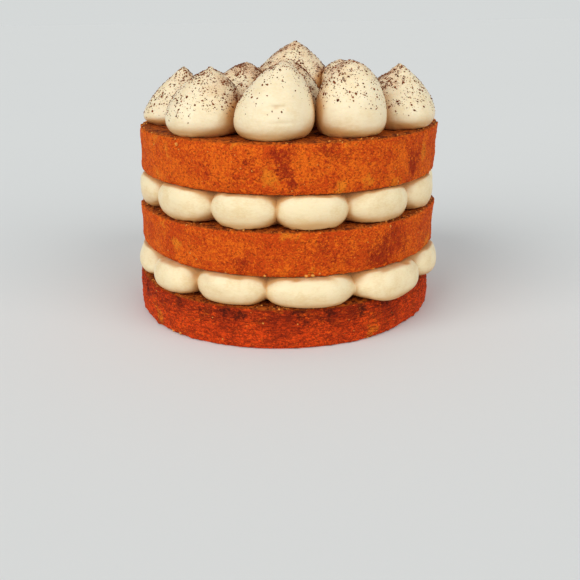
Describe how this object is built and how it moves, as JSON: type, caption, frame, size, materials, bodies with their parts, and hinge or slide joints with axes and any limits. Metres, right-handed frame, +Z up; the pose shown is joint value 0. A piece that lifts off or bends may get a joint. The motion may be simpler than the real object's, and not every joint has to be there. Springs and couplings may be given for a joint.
{
  "type": "layer cake",
  "caption": "Round naked layer cake: golden sponges with piped cream dollops between them, and piped cream kisses dusted with cocoa on top.",
  "frame": {"origin": "centre of the flat base, on the surface the cake stands on", "axes": "+Z up through the layers, -Y towards the viewer of the picture, +X to the viewer's right"},
  "size_m": [0.1519, 0.1526, 0.1271],
  "materials": {
    "sponge": "matte, crumbly baked sponge side",
    "sponge_dark": "matte, darker baked sponge side",
    "cream": "soft satin piped cream"
  },
  "bodies": {
    "root": {"sponge_bottom": "sponge_dark", "sponge_middle": "sponge", "sponge_top": "sponge", "filling_lower": "cream", "filling_upper": "cream", "kiss_rim_1": "cream", "kiss_rim_2": "cream", "kiss_rim_3": "cream", "kiss_rim_4": "cream", "kiss_rim_5": "cream", "kiss_rim_6": "cream", "kiss_rim_7": "cream", "kiss_rim_8": "cream", "kiss_rim_9": "cream", "kiss_inner_1": "cream", "kiss_inner_2": "cream", "kiss_inner_3": "cream", "kiss_inner_4": "cream", "kiss_inner_5": "cream", "kiss_centre": "cream"}
  },
  "joints": []
}
